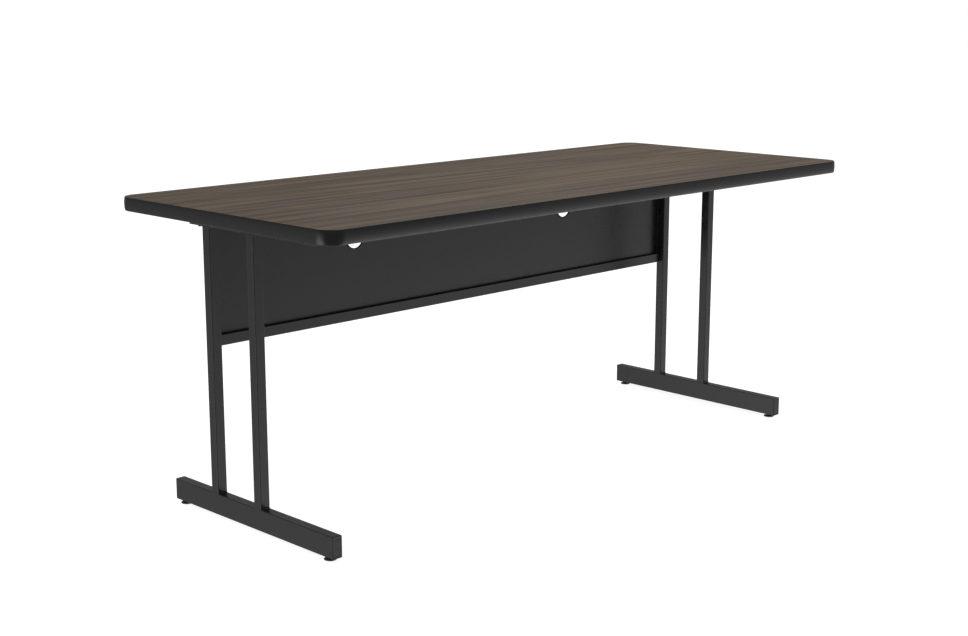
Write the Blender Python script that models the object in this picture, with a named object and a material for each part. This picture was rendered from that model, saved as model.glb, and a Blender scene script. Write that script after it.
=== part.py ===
"""Teacher desk: laminate top with black edge molding, black steel leg frames, modesty panel and glides.

Metres, +Z up. X runs along the desk, -Y is the side where a person sits and +Y is the panel side.
The origin is on the floor, under the middle of the top. Left and right are a seated person's.
"""

import math

import bmesh
import bpy

INCH = 0.0254
GAP = 0.0003  # air between neighbouring pieces

# Desktop
TOP_LENGTH = 72 * INCH
TOP_DEPTH = 30 * INCH
TOP_THICKNESS = 1.25 * INCH
DESK_HEIGHT = 29.13 * INCH
CORNER_RADIUS = 1.75 * INCH
LAMINATE_THICKNESS = 0.048 * INCH
BACKER_THICKNESS = 0.032 * INCH

# Edge molding: a rounded nose outside the boards, and a barbed tongue in the core's groove
NOSE_DEPTH = 0.10 * INCH
NOSE_FULLNESS = 3.2  # exponent of the nose's superellipse: 2 is an ellipse, more is squarer
TONGUE_LENGTH = 0.38 * INCH
TONGUE_THICKNESS = 0.066 * INCH
BARB_THICKNESS = 0.084 * INCH
BARB_LENGTH = 0.04 * INCH
GROOVE_HEIGHT = 0.11 * INCH
GROOVE_DEPTH = 0.42 * INCH

# Leg frames
TUBE_WALL = 0.06 * INCH
TUBE_CORNER = 0.10 * INCH
LEG_X = 32.075 * INCH
FOOT_WIDTH = 1.0 * INCH
FOOT_HEIGHT = 2.0 * INCH
FOOT_LENGTH = 23.12 * INCH
FOOT_MIDDLE_Y = 0.98 * INCH
UPRIGHT_SIZE = 1.0 * INCH
FRONT_UPRIGHT_Y = -0.15 * INCH
REAR_UPRIGHT_Y = 6.235 * INCH
SUPPORT_LENGTH = 17.36 * INCH
SUPPORT_MIDDLE_Y = 0.0
CAP_FLANGE = 0.08 * INCH
CAP_PLUG = 0.5 * INCH
CAP_WALL = 0.07 * INCH
CAP_EDGE = 0.03 * INCH

# Levelling glides, on 5/16 in stems
GLIDE_HEIGHT = 0.29 * INCH
GLIDE_FROM_END = 1.0 * INCH
GLIDE_RIM_RADIUS = 0.5625 * INCH
GLIDE_HEX = 0.5 * INCH
STEM_RADIUS = 0.3125 * INCH / 2
STEM_TOP = 1.33 * INCH
STEM_BOTTOM = 0.08 * INCH
STEM_CHAMFER = 0.04 * INCH
INSERT_FLANGE = 0.048 * INCH
INSERT_FLANGE_RADIUS = 0.30 * INCH
INSERT_SLEEVE_RADIUS = 0.22 * INCH
INSERT_SLEEVE_HEIGHT = 0.45 * INCH

# Modesty panel: one folded sheet, made here as flat plates with a gap at each bend
SHEET = 0.048 * INCH
PANEL_BOTTOM = 15.88 * INCH
FOOT_DEPTH = 0.48 * INCH
LIP_HEIGHT = 1.0 * INCH
SIDE_FLANGE = 0.88 * INCH
TOP_FLANGE = 0.8 * INCH
CORNER_RELIEF = 0.12 * INCH
CABLE_HOLE_X = 15.0 * INCH
CABLE_HOLE_Z = 23.88 * INCH
CABLE_HOLE_RADIUS = 1.0 * INCH  # clear radius inside the grommet
GROMMET_WALL = 0.08 * INCH
GROMMET_LIP = 0.10 * INCH
GROMMET_LIP_THICKNESS = 0.06 * INCH

# Screws with a hexagon head and a washer face
SCREW_RADIUS = 0.0024
SCREW_HOLE_RADIUS = SCREW_RADIUS + GAP
SCREW_HEX = 0.3125 * INCH
SCREW_HEX_HEIGHT = 0.0030
SCREW_WASHER_RADIUS = 0.0056
SCREW_WASHER_THICKNESS = 0.0011
SCREW_POINT = 0.004
TOP_SCREW_LENGTH = 1.75 * INCH
FLANGE_SCREW_LENGTH = 0.75 * INCH
SIDE_SCREW_LENGTH = 0.5 * INCH
SUPPORT_SCREW_Y = [-7.75 * INCH, -3.05 * INCH, 3.05 * INCH, 7.75 * INCH]
SIDE_SCREW_Z = [17.38 * INCH, 21.88 * INCH, 26.38 * INCH]
FLANGE_SCREW_X = [-24.0 * INCH, -8.0 * INCH, 8.0 * INCH, 24.0 * INCH]

# Steps along curves
TOP_CORNER_STEPS = 10
TUBE_CORNER_STEPS = 2
ROUND_STEPS = 24
STEM_STEPS = 12
SCREW_STEPS = 12
CABLE_HOLE_STEPS = 24
NOSE_STEPS = 10
BELL_STEPS = 3

# Sizes that follow
TOP_UNDERSIDE = DESK_HEIGHT - TOP_THICKNESS
FOOT_TOP = GLIDE_HEIGHT + FOOT_HEIGHT
SUPPORT_BOTTOM = TOP_UNDERSIDE - UPRIGHT_SIZE
UPRIGHT_BOTTOM = FOOT_TOP + GAP
UPRIGHT_TOP = SUPPORT_BOTTOM - GAP
LEG_INNER_X = LEG_X - UPRIGHT_SIZE / 2
PANEL_HALF = LEG_INNER_X - GAP - SHEET / 2  # to the middle of each side flange
PANEL_Y = REAR_UPRIGHT_Y + UPRIGHT_SIZE / 2 - SHEET / 2  # middle of the sheet
GROMMET_RADIUS = CABLE_HOLE_RADIUS + GROMMET_WALL
INSERT_TOP = GLIDE_HEIGHT + TUBE_WALL + INSERT_SLEEVE_HEIGHT
GLIDE_TOP = GLIDE_HEIGHT - INSERT_FLANGE - 2 * GAP

SIDES = {"left": -1, "right": 1}
FOOT_ENDS = {"front": -1, "rear": 1}


# ---- Building blocks ----

def clear_scene():
    for item in list(bpy.data.objects):
        bpy.data.objects.remove(item, do_unlink=True)


def make_material(name, colour, roughness, metallic=0.0):
    material = bpy.data.materials.new(name)
    material.use_nodes = True
    shader = material.node_tree.nodes["Principled BSDF"]
    shader.inputs["Base Color"].default_value = (*colour, 1.0)
    shader.inputs["Roughness"].default_value = roughness
    shader.inputs["Metallic"].default_value = metallic
    return material


def loft(name, loops, closed=False, smooth_angle=35.0):
    """Mesh through loops of equally many points: capped at both ends, or closed into a ring."""
    shape = bmesh.new()
    rows = [[shape.verts.new(point) for point in loop] for loop in loops]
    pairs = list(zip(rows, rows[1:]))
    if closed:
        pairs.append((rows[-1], rows[0]))
    else:
        shape.faces.new(list(reversed(rows[0])))
        shape.faces.new(rows[-1])
    for lower, upper in pairs:
        count = len(lower)
        for i in range(count):
            j = (i + 1) % count
            shape.faces.new((lower[i], lower[j], upper[j], upper[i]))
    bmesh.ops.recalc_face_normals(shape, faces=shape.faces)
    mesh = bpy.data.meshes.new(name)
    shape.to_mesh(mesh)
    shape.free()
    mesh.shade_smooth()
    mesh.set_sharp_from_angle(angle=math.radians(smooth_angle))
    return mesh


def add_object(name, mesh, material, parent=None, location=(0, 0, 0), rotation=(0, 0, 0)):
    item = bpy.data.objects.new(name, mesh)
    bpy.context.scene.collection.objects.link(item)
    item.parent = parent
    item.location = location
    item.rotation_euler = rotation
    if material and not mesh.materials:
        mesh.materials.append(material)
    return item


def add_empty(name, location, parent=None):
    empty = bpy.data.objects.new(name, None)
    bpy.context.scene.collection.objects.link(empty)
    empty.parent = parent
    empty.location = location
    return empty


def add_cutter(name, mesh):
    cutter = add_object(name, mesh, None)
    cutter.hide_render = True
    cutter.display_type = "WIRE"
    return cutter


def combine(item, other, operation):
    modifier = item.modifiers.new(other.name, "BOOLEAN")
    modifier.operation = operation
    modifier.solver = "EXACT"
    modifier.object = other


def ring(radius, z, count=ROUND_STEPS):
    turns = [2 * math.pi * i / count for i in range(count)]
    return [(radius * math.cos(a), radius * math.sin(a), z) for a in turns]


def hexagon(across_flats, z, count=ROUND_STEPS):
    points = []
    for i in range(count):
        angle = 2 * math.pi * i / count
        radius = across_flats / 2 / math.cos(angle % (math.pi / 3) - math.pi / 6)
        points.append((radius * math.cos(angle), radius * math.sin(angle), z))
    return points


def rounded_rectangle(width, depth, radius, z, steps=TUBE_CORNER_STEPS):
    points = []
    for quarter, (side_x, side_y) in enumerate([(1, 1), (-1, 1), (-1, -1), (1, -1)]):
        for step in range(steps + 1):
            angle = math.pi / 2 * (quarter + step / steps)
            x = side_x * (width / 2 - radius) + radius * math.cos(angle)
            y = side_y * (depth / 2 - radius) + radius * math.sin(angle)
            points.append((x, y, z))
    return points


def square_tube(name, width, depth, low, high):
    """Open-ended tube along Z."""
    inner = (width - 2 * TUBE_WALL, depth - 2 * TUBE_WALL, TUBE_CORNER - TUBE_WALL)
    loops = [
        rounded_rectangle(width, depth, TUBE_CORNER, low),
        rounded_rectangle(width, depth, TUBE_CORNER, high),
        rounded_rectangle(*inner, high),
        rounded_rectangle(*inner, low),
    ]
    return loft(name, loops, closed=True)


def drills(name, holes):
    """One mesh of separate cylinders; a hole is (axis, start, length, radius, steps)."""
    shape = bmesh.new()
    for axis, start, length, radius, steps in holes:
        ends = []
        for along in (0, length):
            verts = []
            for px, py, _ in ring(radius, 0, steps):
                offset = {"X": (along, px, py), "Y": (px, along, py), "Z": (px, py, along)}[axis]
                verts.append(shape.verts.new([a + b for a, b in zip(start, offset)]))
            ends.append(verts)
            shape.faces.new(verts)
        for i in range(steps):
            j = (i + 1) % steps
            shape.faces.new((ends[0][i], ends[0][j], ends[1][j], ends[1][i]))
    bmesh.ops.recalc_face_normals(shape, faces=shape.faces)
    mesh = bpy.data.meshes.new(name)
    shape.to_mesh(mesh)
    shape.free()
    return mesh


# ---- Desktop ----

def edge_stations():
    """Round the boards' edge: each corner arc's centre and the outward direction."""
    stations = []
    centre_x = TOP_LENGTH / 2 - CORNER_RADIUS
    centre_y = TOP_DEPTH / 2 - CORNER_RADIUS
    for quarter, (side_x, side_y) in enumerate([(1, 1), (-1, 1), (-1, -1), (1, -1)]):
        for step in range(TOP_CORNER_STEPS + 1):
            angle = math.pi / 2 * (quarter + step / TOP_CORNER_STEPS)
            stations.append((side_x * centre_x, side_y * centre_y, math.cos(angle), math.sin(angle)))
    return stations


def board_outline(inset, z):
    radius = CORNER_RADIUS - NOSE_DEPTH - inset
    return [(x + radius * dx, y + radius * dy, z) for x, y, dx, dy in edge_stations()]


def make_boards(materials, screw_holes):
    backer_top = TOP_UNDERSIDE + BACKER_THICKNESS
    core_bottom = backer_top + GAP
    laminate_bottom = DESK_HEIGHT - LAMINATE_THICKNESS
    core_top = laminate_bottom - GAP
    middle = TOP_UNDERSIDE + TOP_THICKNESS / 2
    groove_low = middle - GROOVE_HEIGHT / 2
    groove_high = middle + GROOVE_HEIGHT / 2
    core_loops = [
        board_outline(0, core_bottom),
        board_outline(0, groove_low),
        board_outline(GROOVE_DEPTH, groove_low),
        board_outline(GROOVE_DEPTH, groove_high),
        board_outline(0, groove_high),
        board_outline(0, core_top),
    ]
    core = add_object("core_board", loft("core_board", core_loops), materials["particle_board"])
    backer_loops = [board_outline(0, TOP_UNDERSIDE), board_outline(0, backer_top)]
    backer = add_object("backer_sheet", loft("backer_sheet", backer_loops), materials["backer"])
    laminate_loops = [board_outline(0, laminate_bottom), board_outline(0, DESK_HEIGHT)]
    add_object("top_laminate", loft("top_laminate", laminate_loops), materials["wood_laminate"])
    combine(core, screw_holes, "DIFFERENCE")
    combine(backer, screw_holes, "DIFFERENCE")


def molding_profile():
    """Closed outline of (distance outward from the boards' edge, height above the middle)."""
    half_height = TOP_THICKNESS / 2
    nose = []
    for step in range(NOSE_STEPS + 1):
        angle = math.pi * (step / NOSE_STEPS - 0.5)
        across = abs(math.cos(angle)) ** (2 / NOSE_FULLNESS)
        along = abs(math.sin(angle)) ** (2 / NOSE_FULLNESS)
        outward = GAP + (NOSE_DEPTH - GAP) * across
        nose.append((outward, math.copysign(half_height * along, angle)))
    thin = TONGUE_THICKNESS / 2
    thick = BARB_THICKNESS / 2
    barb = -TONGUE_LENGTH * 0.75
    upper = [
        (GAP, thin),
        (barb + BARB_LENGTH, thin),
        (barb + BARB_LENGTH, thick),
        (barb, thin),
        (-TONGUE_LENGTH, thin / 2),
    ]
    lower = [(outward, -height) for outward, height in reversed(upper)]
    return nose + upper + lower


def make_edge_molding(material):
    board_radius = CORNER_RADIUS - NOSE_DEPTH
    middle = TOP_UNDERSIDE + TOP_THICKNESS / 2
    profile = molding_profile()
    loops = []
    for x, y, dx, dy in edge_stations():
        reach = [(board_radius + outward, middle + height) for outward, height in profile]
        loops.append([(x + r * dx, y + r * dy, z) for r, z in reach])
    add_object("edge_molding", loft("edge_molding", loops, closed=True, smooth_angle=50), material)


# ---- Leg frames ----

def cap_mesh(name, width, depth):
    """Tube end cap: a flange at Z 0 to CAP_FLANGE outside, and a hollow plug on the -Z side."""
    plug_width = width - 2 * TUBE_WALL - 2 * GAP
    plug_depth = depth - 2 * TUBE_WALL - 2 * GAP
    plug_corner = TUBE_CORNER - TUBE_WALL
    hollow_width = plug_width - 2 * CAP_WALL
    hollow_depth = plug_depth - 2 * CAP_WALL
    edge_corner = TUBE_CORNER - CAP_EDGE
    taper = 0.97
    loops = [
        rounded_rectangle(width - 2 * CAP_EDGE, depth - 2 * CAP_EDGE, edge_corner, CAP_FLANGE),
        rounded_rectangle(width, depth, TUBE_CORNER, CAP_FLANGE - CAP_EDGE),
        rounded_rectangle(width, depth, TUBE_CORNER, 0),
        rounded_rectangle(plug_width, plug_depth, plug_corner, 0),
        rounded_rectangle(plug_width, plug_depth, plug_corner, -CAP_PLUG * 0.7),
        rounded_rectangle(plug_width * taper, plug_depth * taper, plug_corner, -CAP_PLUG),
        rounded_rectangle(hollow_width, hollow_depth, plug_corner / 2, -CAP_PLUG),
        rounded_rectangle(hollow_width, hollow_depth, plug_corner / 2, 0),
    ]
    return loft(name, loops)


def add_end_caps(tube_name, mesh, parent, middle_y, length, height, material):
    """A cap in each end of a tube that runs along Y; length is over both flanges."""
    for end, sign in FOOT_ENDS.items():
        y = middle_y + sign * (length / 2 - CAP_FLANGE)
        rotation = (-sign * math.pi / 2, 0, 0)
        add_object(f"{tube_name}_cap_{end}", mesh, material, parent, (0, y, height), rotation)


def make_leg(side, sign, materials, meshes, cutters):
    leg = add_empty(f"{side}_leg", (sign * LEG_X, 0, 0))
    steel = materials["black_steel"]
    along_y = (-math.pi / 2, 0, 0)
    foot_height = GLIDE_HEIGHT + FOOT_HEIGHT / 2
    foot_place = (0, FOOT_MIDDLE_Y, foot_height)
    foot = add_object(f"{side}_foot_tube", meshes["foot"], steel, leg, foot_place, along_y)
    combine(foot, cutters["glide_holes"], "DIFFERENCE")
    support_height = SUPPORT_BOTTOM + UPRIGHT_SIZE / 2
    support_place = (0, SUPPORT_MIDDLE_Y, support_height)
    support = add_object(f"{side}_top_support", meshes["support"], steel, leg, support_place, along_y)
    combine(support, cutters["top_screw_holes"], "DIFFERENCE")
    for place, y in (("front", FRONT_UPRIGHT_Y), ("rear", REAR_UPRIGHT_Y)):
        upright = add_object(f"{side}_{place}_upright", meshes["upright"], steel, leg, (0, y, 0))
        if place == "rear":
            combine(upright, cutters["side_screw_holes"], "DIFFERENCE")
    plastic = materials["black_plastic"]
    foot_cap = (meshes["foot_cap"], leg, FOOT_MIDDLE_Y, FOOT_LENGTH, foot_height, plastic)
    add_end_caps(f"{side}_foot", *foot_cap)
    support_cap = (meshes["support_cap"], leg, SUPPORT_MIDDLE_Y, SUPPORT_LENGTH, support_height, plastic)
    add_end_caps(f"{side}_support", *support_cap)
    screw = materials["black_screw"]
    for number, y in enumerate(SUPPORT_SCREW_Y, 1):
        place = (0, y, SUPPORT_BOTTOM)
        add_object(f"{side}_support_screw_{number}", meshes["top_screw"], screw, leg, place)
    for end, end_sign in FOOT_ENDS.items():
        y = FOOT_MIDDLE_Y + end_sign * (FOOT_LENGTH / 2 - GLIDE_FROM_END)
        make_glide(f"{end}_{side}", leg, y, materials, meshes)


def make_tube_meshes():
    foot_half = FOOT_LENGTH / 2 - CAP_FLANGE - GAP
    support_half = SUPPORT_LENGTH / 2 - CAP_FLANGE - GAP
    return {
        "foot": square_tube("foot_tube", FOOT_WIDTH, FOOT_HEIGHT, -foot_half, foot_half),
        "support": square_tube("top_support", UPRIGHT_SIZE, UPRIGHT_SIZE, -support_half, support_half),
        "upright": square_tube("upright", UPRIGHT_SIZE, UPRIGHT_SIZE, UPRIGHT_BOTTOM, UPRIGHT_TOP),
        "foot_cap": cap_mesh("foot_cap", FOOT_WIDTH, FOOT_HEIGHT),
        "support_cap": cap_mesh("support_cap", UPRIGHT_SIZE, UPRIGHT_SIZE),
    }


# ---- Levelling glides ----

def glide_base_mesh():
    """Bell-shaped foot with a hexagon on top and a pocket for the stem; Z 0 is the floor."""
    hex_bottom = GLIDE_TOP * 0.74
    rim_top = GLIDE_TOP * 0.42
    neck = GLIDE_HEX / 2
    loops = [ring(GLIDE_RIM_RADIUS * 0.9, 0), ring(GLIDE_RIM_RADIUS, GLIDE_TOP * 0.09)]
    for step in range(BELL_STEPS + 1):
        share = step / BELL_STEPS
        radius = neck + (GLIDE_RIM_RADIUS - neck) * (1 - math.sin(share * math.pi / 2))
        loops.append(ring(radius, rim_top + (hex_bottom - rim_top) * share))
    pocket = STEM_RADIUS + GAP
    loops += [
        hexagon(GLIDE_HEX, hex_bottom + GAP),
        hexagon(GLIDE_HEX, GLIDE_TOP),
        ring(pocket, GLIDE_TOP),
        ring(pocket, STEM_BOTTOM - GAP),
    ]
    return loft("glide_base", loops, smooth_angle=28)


def glide_stem_mesh():
    loops = [
        ring(STEM_RADIUS - STEM_CHAMFER / 2, STEM_BOTTOM, STEM_STEPS),
        ring(STEM_RADIUS, STEM_BOTTOM + STEM_CHAMFER, STEM_STEPS),
        ring(STEM_RADIUS, STEM_TOP - STEM_CHAMFER, STEM_STEPS),
        ring(STEM_RADIUS - STEM_CHAMFER, STEM_TOP, STEM_STEPS),
    ]
    return loft("glide_stem", loops)


def glide_insert_mesh():
    """Threaded bush: a flange under the foot tube's bottom wall and a sleeve through it."""
    flange_top = GLIDE_HEIGHT - GAP
    flange_bottom = flange_top - INSERT_FLANGE
    bore = STEM_RADIUS + GAP
    profile = [
        (INSERT_FLANGE_RADIUS, flange_bottom),
        (INSERT_FLANGE_RADIUS, flange_top),
        (INSERT_SLEEVE_RADIUS, flange_top),
        (INSERT_SLEEVE_RADIUS, INSERT_TOP),
        (bore, INSERT_TOP),
        (bore, flange_bottom),
    ]
    loops = [ring(radius, z, STEM_STEPS) for radius, z in profile]
    return loft("glide_insert", loops, closed=True)


def make_glide(place, leg, y, materials, meshes):
    axis = add_empty(f"glide_{place}", (0, y, 0), leg)
    add_object(f"glide_insert_{place}", meshes["glide_insert"], materials["zinc"], axis)
    add_object(f"glide_stem_{place}", meshes["glide_stem"], materials["zinc"], axis)
    add_object(f"glide_base_{place}", meshes["glide_base"], materials["black_nylon"], axis)


# ---- Modesty panel ----

def add_plate(name, low, high, material):
    outline = [(low[0], low[1]), (high[0], low[1]), (high[0], high[1]), (low[0], high[1])]
    loops = [[(x, y, z) for x, y in outline] for z in (low[2], high[2])]
    return add_object(name, loft(name, loops), material)


def make_panel(material, holes):
    """The folded panel as flat plates, split at its bends: sheet, flanges, and the foot's web and lip."""
    half = PANEL_HALF + SHEET / 2
    inner_half = PANEL_HALF - CORNER_RELIEF
    rear = PANEL_Y + SHEET / 2
    fold = PANEL_Y - SHEET / 2 - GAP
    top = TOP_UNDERSIDE - GAP
    foot_top = PANEL_BOTTOM + SHEET
    lip_front = rear - FOOT_DEPTH
    sheet = add_plate("modesty_panel", (-half, fold + GAP, PANEL_BOTTOM), (half, rear, top), material)
    combine(sheet, holes, "DIFFERENCE")
    flange_low = (-inner_half, rear - TOP_FLANGE, top - SHEET)
    flange = add_plate("panel_top_flange", flange_low, (inner_half, fold, top), material)
    combine(flange, holes, "DIFFERENCE")
    web_low = (-inner_half, lip_front, PANEL_BOTTOM)
    add_plate("panel_foot_web", web_low, (inner_half, fold, foot_top), material)
    lip_low = (-inner_half, lip_front, foot_top + GAP)
    lip_high = (inner_half, lip_front + SHEET, PANEL_BOTTOM + LIP_HEIGHT)
    add_plate("panel_foot_lip", lip_low, lip_high, material)
    for side, sign in SIDES.items():
        low_x, high_x = sorted((sign * (PANEL_HALF - SHEET / 2), sign * half))
        low = (low_x, rear - SIDE_FLANGE, PANEL_BOTTOM + CORNER_RELIEF)
        high = (high_x, fold, TOP_UNDERSIDE - CORNER_RELIEF)
        combine(add_plate(f"{side}_panel_flange", low, high, material), holes, "DIFFERENCE")


def grommet_mesh():
    """Ring round the sheet's edge, made about Z with the sheet's middle at Z 0."""
    outer = GROMMET_RADIUS + GROMMET_LIP
    seat = GROMMET_RADIUS - GAP
    groove = SHEET / 2 + GAP
    face = groove + GROMMET_LIP_THICKNESS
    edge = GROMMET_LIP_THICKNESS / 2
    profile = [
        (CABLE_HOLE_RADIUS, -face),
        (CABLE_HOLE_RADIUS, face),
        (outer - edge, face),
        (outer, groove),
        (seat, groove),
        (seat, -groove),
        (outer, -groove),
        (outer - edge, -face),
    ]
    loops = [ring(radius, z, CABLE_HOLE_STEPS) for radius, z in profile]
    return loft("cable_grommet", loops, closed=True)


def make_grommets(material):
    mesh = grommet_mesh()
    for side, sign in SIDES.items():
        place = (sign * CABLE_HOLE_X, PANEL_Y, CABLE_HOLE_Z)
        add_object(f"{side}_cable_grommet", mesh, material, None, place, (math.pi / 2, 0, 0))


# ---- Screws ----

def screw_mesh(name, length):
    """Washer face at Z 0, the head on the -Z side and the pointed shank on the +Z side."""
    washer = -GAP - SCREW_WASHER_THICKNESS
    head = washer - SCREW_HEX_HEIGHT
    tip = SCREW_RADIUS * 0.2
    loops = [
        hexagon(SCREW_HEX * 0.9, head, SCREW_STEPS),
        hexagon(SCREW_HEX, head + GAP * 2, SCREW_STEPS),
        hexagon(SCREW_HEX, washer, SCREW_STEPS),
        ring(SCREW_WASHER_RADIUS, washer, SCREW_STEPS),
        ring(SCREW_WASHER_RADIUS, -GAP, SCREW_STEPS),
        ring(SCREW_RADIUS, -GAP, SCREW_STEPS),
        ring(SCREW_RADIUS, length - SCREW_POINT, SCREW_STEPS),
        ring(tip, length, SCREW_STEPS),
    ]
    return loft(name, loops)


def make_panel_screws(material):
    side_mesh = screw_mesh("side_screw", SIDE_SCREW_LENGTH)
    for side, sign in SIDES.items():
        for number, z in enumerate(SIDE_SCREW_Z, 1):
            place = (sign * (LEG_INNER_X - GAP - SHEET), REAR_UPRIGHT_Y, z)
            rotation = (0, sign * math.pi / 2, 0)
            add_object(f"{side}_panel_screw_{number}", side_mesh, material, None, place, rotation)
    flange_mesh = screw_mesh("flange_screw", FLANGE_SCREW_LENGTH)
    flange_y = PANEL_Y - TOP_FLANGE / 2
    for number, x in enumerate(FLANGE_SCREW_X, 1):
        place = (x, flange_y, TOP_UNDERSIDE - GAP - SHEET)
        add_object(f"panel_flange_screw_{number}", flange_mesh, material, None, place)


def make_cutters():
    """Every hole, in four meshes, so that each piece is cut in one go."""
    margin = 0.001
    signs = list(SIDES.values())
    flange_y = PANEL_Y - TOP_FLANGE / 2

    def screw_hole(axis, start, length):
        return (axis, start, length + 2 * margin, SCREW_HOLE_RADIUS, SCREW_STEPS)

    support_holes = []
    glide_holes = []
    for x in (sign * LEG_X for sign in signs):
        for y in SUPPORT_SCREW_Y:
            support_holes.append(screw_hole("Z", (x, y, SUPPORT_BOTTOM - margin), TOP_SCREW_LENGTH))
        for end_sign in FOOT_ENDS.values():
            y = FOOT_MIDDLE_Y + end_sign * (FOOT_LENGTH / 2 - GLIDE_FROM_END)
            start = (x, y, GLIDE_HEIGHT - TUBE_WALL)
            glide_holes.append(("Z", start, 3 * TUBE_WALL, INSERT_SLEEVE_RADIUS + GAP, STEM_STEPS))
    flange_start = TOP_UNDERSIDE - SHEET - margin
    flange_holes = []
    for x in FLANGE_SCREW_X:
        flange_holes.append(screw_hole("Z", (x, flange_y, flange_start), FLANGE_SCREW_LENGTH))
    side_length = SHEET + TUBE_WALL
    side_holes = []
    cable_holes = []
    for sign in signs:
        start_x = sign * LEG_INNER_X - side_length / 2 - margin
        for z in SIDE_SCREW_Z:
            side_holes.append(screw_hole("X", (start_x, REAR_UPRIGHT_Y, z), side_length))
        start = (sign * CABLE_HOLE_X, PANEL_Y - SHEET * 2, CABLE_HOLE_Z)
        cable_holes.append(("Y", start, SHEET * 4, GROMMET_RADIUS, CABLE_HOLE_STEPS))
    holes = {
        "top_screw_holes": support_holes + flange_holes,
        "side_screw_holes": side_holes,
        "panel_holes": flange_holes + side_holes + cable_holes,
        "glide_holes": glide_holes,
    }
    return {name: add_cutter(name, drills(name, places)) for name, places in holes.items()}


def main():
    clear_scene()
    materials = {
        "wood_laminate": make_material("wood_laminate", (0.105, 0.084, 0.068), 0.45),
        "particle_board": make_material("particle_board", (0.42, 0.30, 0.18), 0.9),
        "backer": make_material("backer", (0.12, 0.09, 0.065), 0.7),
        "edge_molding": make_material("edge_molding", (0.012, 0.012, 0.012), 0.35),
        "black_steel": make_material("black_steel", (0.014, 0.014, 0.014), 0.35),
        "black_plastic": make_material("black_plastic", (0.012, 0.012, 0.012), 0.5),
        "black_nylon": make_material("black_nylon", (0.015, 0.015, 0.015), 0.45),
        "black_rubber": make_material("black_rubber", (0.012, 0.012, 0.012), 0.7),
        "zinc": make_material("zinc", (0.55, 0.56, 0.58), 0.35, 1.0),
        "black_screw": make_material("black_screw", (0.02, 0.02, 0.02), 0.4, 1.0),
    }
    cutters = make_cutters()
    make_boards(materials, cutters["top_screw_holes"])
    make_edge_molding(materials["edge_molding"])
    meshes = make_tube_meshes()
    meshes["glide_base"] = glide_base_mesh()
    meshes["glide_stem"] = glide_stem_mesh()
    meshes["glide_insert"] = glide_insert_mesh()
    meshes["top_screw"] = screw_mesh("top_screw", TOP_SCREW_LENGTH)
    for side, sign in SIDES.items():
        make_leg(side, sign, materials, meshes, cutters)
    make_panel(materials["black_steel"], cutters["panel_holes"])
    make_grommets(materials["black_rubber"])
    make_panel_screws(materials["black_screw"])


main()
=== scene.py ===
"""Looks of the teacher desk: finer pieces, materials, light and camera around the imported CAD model.

Metres, +Z up. X runs along the desktop, -Y is the side where the person sits, +Y the modesty panel's side.
Every piece takes its place and its outer size from the CAD nodes that it stands for.
"""

import math
import random

import bmesh
import bpy
from mathutils import Matrix, Vector


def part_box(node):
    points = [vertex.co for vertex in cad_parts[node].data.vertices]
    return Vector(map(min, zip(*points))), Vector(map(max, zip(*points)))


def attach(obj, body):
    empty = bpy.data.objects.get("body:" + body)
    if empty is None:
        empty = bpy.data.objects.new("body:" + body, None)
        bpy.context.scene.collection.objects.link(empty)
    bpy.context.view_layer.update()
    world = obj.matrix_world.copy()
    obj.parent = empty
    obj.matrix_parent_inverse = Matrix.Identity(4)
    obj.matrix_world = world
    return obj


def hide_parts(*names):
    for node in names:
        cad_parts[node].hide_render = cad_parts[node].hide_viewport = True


INCH = 0.0254
GAP = 0.0003  # air between neighbouring CAD solids

# Desktop
CORNER_RADIUS = 1.75 * INCH
NOSE_DEPTH = 0.10 * INCH
NOSE_FULLNESS = 2.0  # exponent of the nose's superellipse
GROOVE_HEIGHT = 0.11 * INCH
GROOVE_DEPTH = 0.42 * INCH
TONGUE_THICKNESS = 0.066 * INCH
TONGUE_LENGTH = 0.38 * INCH
BARB_THICKNESS = 0.084 * INCH
BARB_PLACES = [0.45, 0.75]  # shares of the tongue's length
MOLDING_JOINT = 0.0005  # the open butt joint in the middle of the rear edge
LAMINATE_CHAMFER = 0.00025

# Steel
TUBE_CORNER = 0.07 * INCH
TUBE_WALL = 0.06 * INCH
TUBE_EDGE = 0.00025
CAP_FLANGE = 0.08 * INCH
CAP_ROUNDING = 0.0011
CAP_RECESS = [(0.0042, 0.0005), (0.0034, 0.00045), (0.0026, 0.00012), (0.0020, 0.0)]  # inset, depth
CAP_PLUG = 0.35 * INCH
CAP_PLUG_END = 0.5 * INCH
BEAD_RADIUS = 0.0019
BEAD_RIPPLE = 0.00028
BEAD_PITCH = 0.0024
BEAD_INSET = 0.0019
BEAD_SPREAD = 0.00006  # of its radius, at random
BEAD_SIDES = 12
SHEET = 0.048 * INCH
BEND_RADIUS = 0.06 * INCH  # of the sheet's middle
CORNER_RELIEF = 0.12 * INCH
SHEET_EDGE = 0.0002
CABLE_HOLE_RADIUS = 1.0 * INCH
GROMMET_WALL = 0.08 * INCH
GROMMET_SQUARENESS = 0.8  # 1 is a round lip, less is squarer

# Hardware
SCREW_LENGTHS = {"support": 1.75 * INCH, "panel": 0.5 * INCH, "flange": 0.75 * INCH}
SCREW_HEX = 0.3125 * INCH
SCREW_CORE = 0.0019
SCREW_MAJOR = 0.0024
SCREW_PITCH = 0.0016
WASHER_RADIUS = 0.0056
WASHER_THICKNESS = 0.0011
HEX_HEIGHT = 0.0030
STEM_PITCH = INCH / 18
STEM_DEPTH = 0.0008
GLIDE_HEX = 0.5 * INCH
GLIDE_RIM_SHARE = 0.42  # of the base's height
GLIDE_BELL_SHARE = 0.74
INSERT_FLANGE = 0.048 * INCH
INSERT_SLEEVE = 0.22 * INCH

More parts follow.
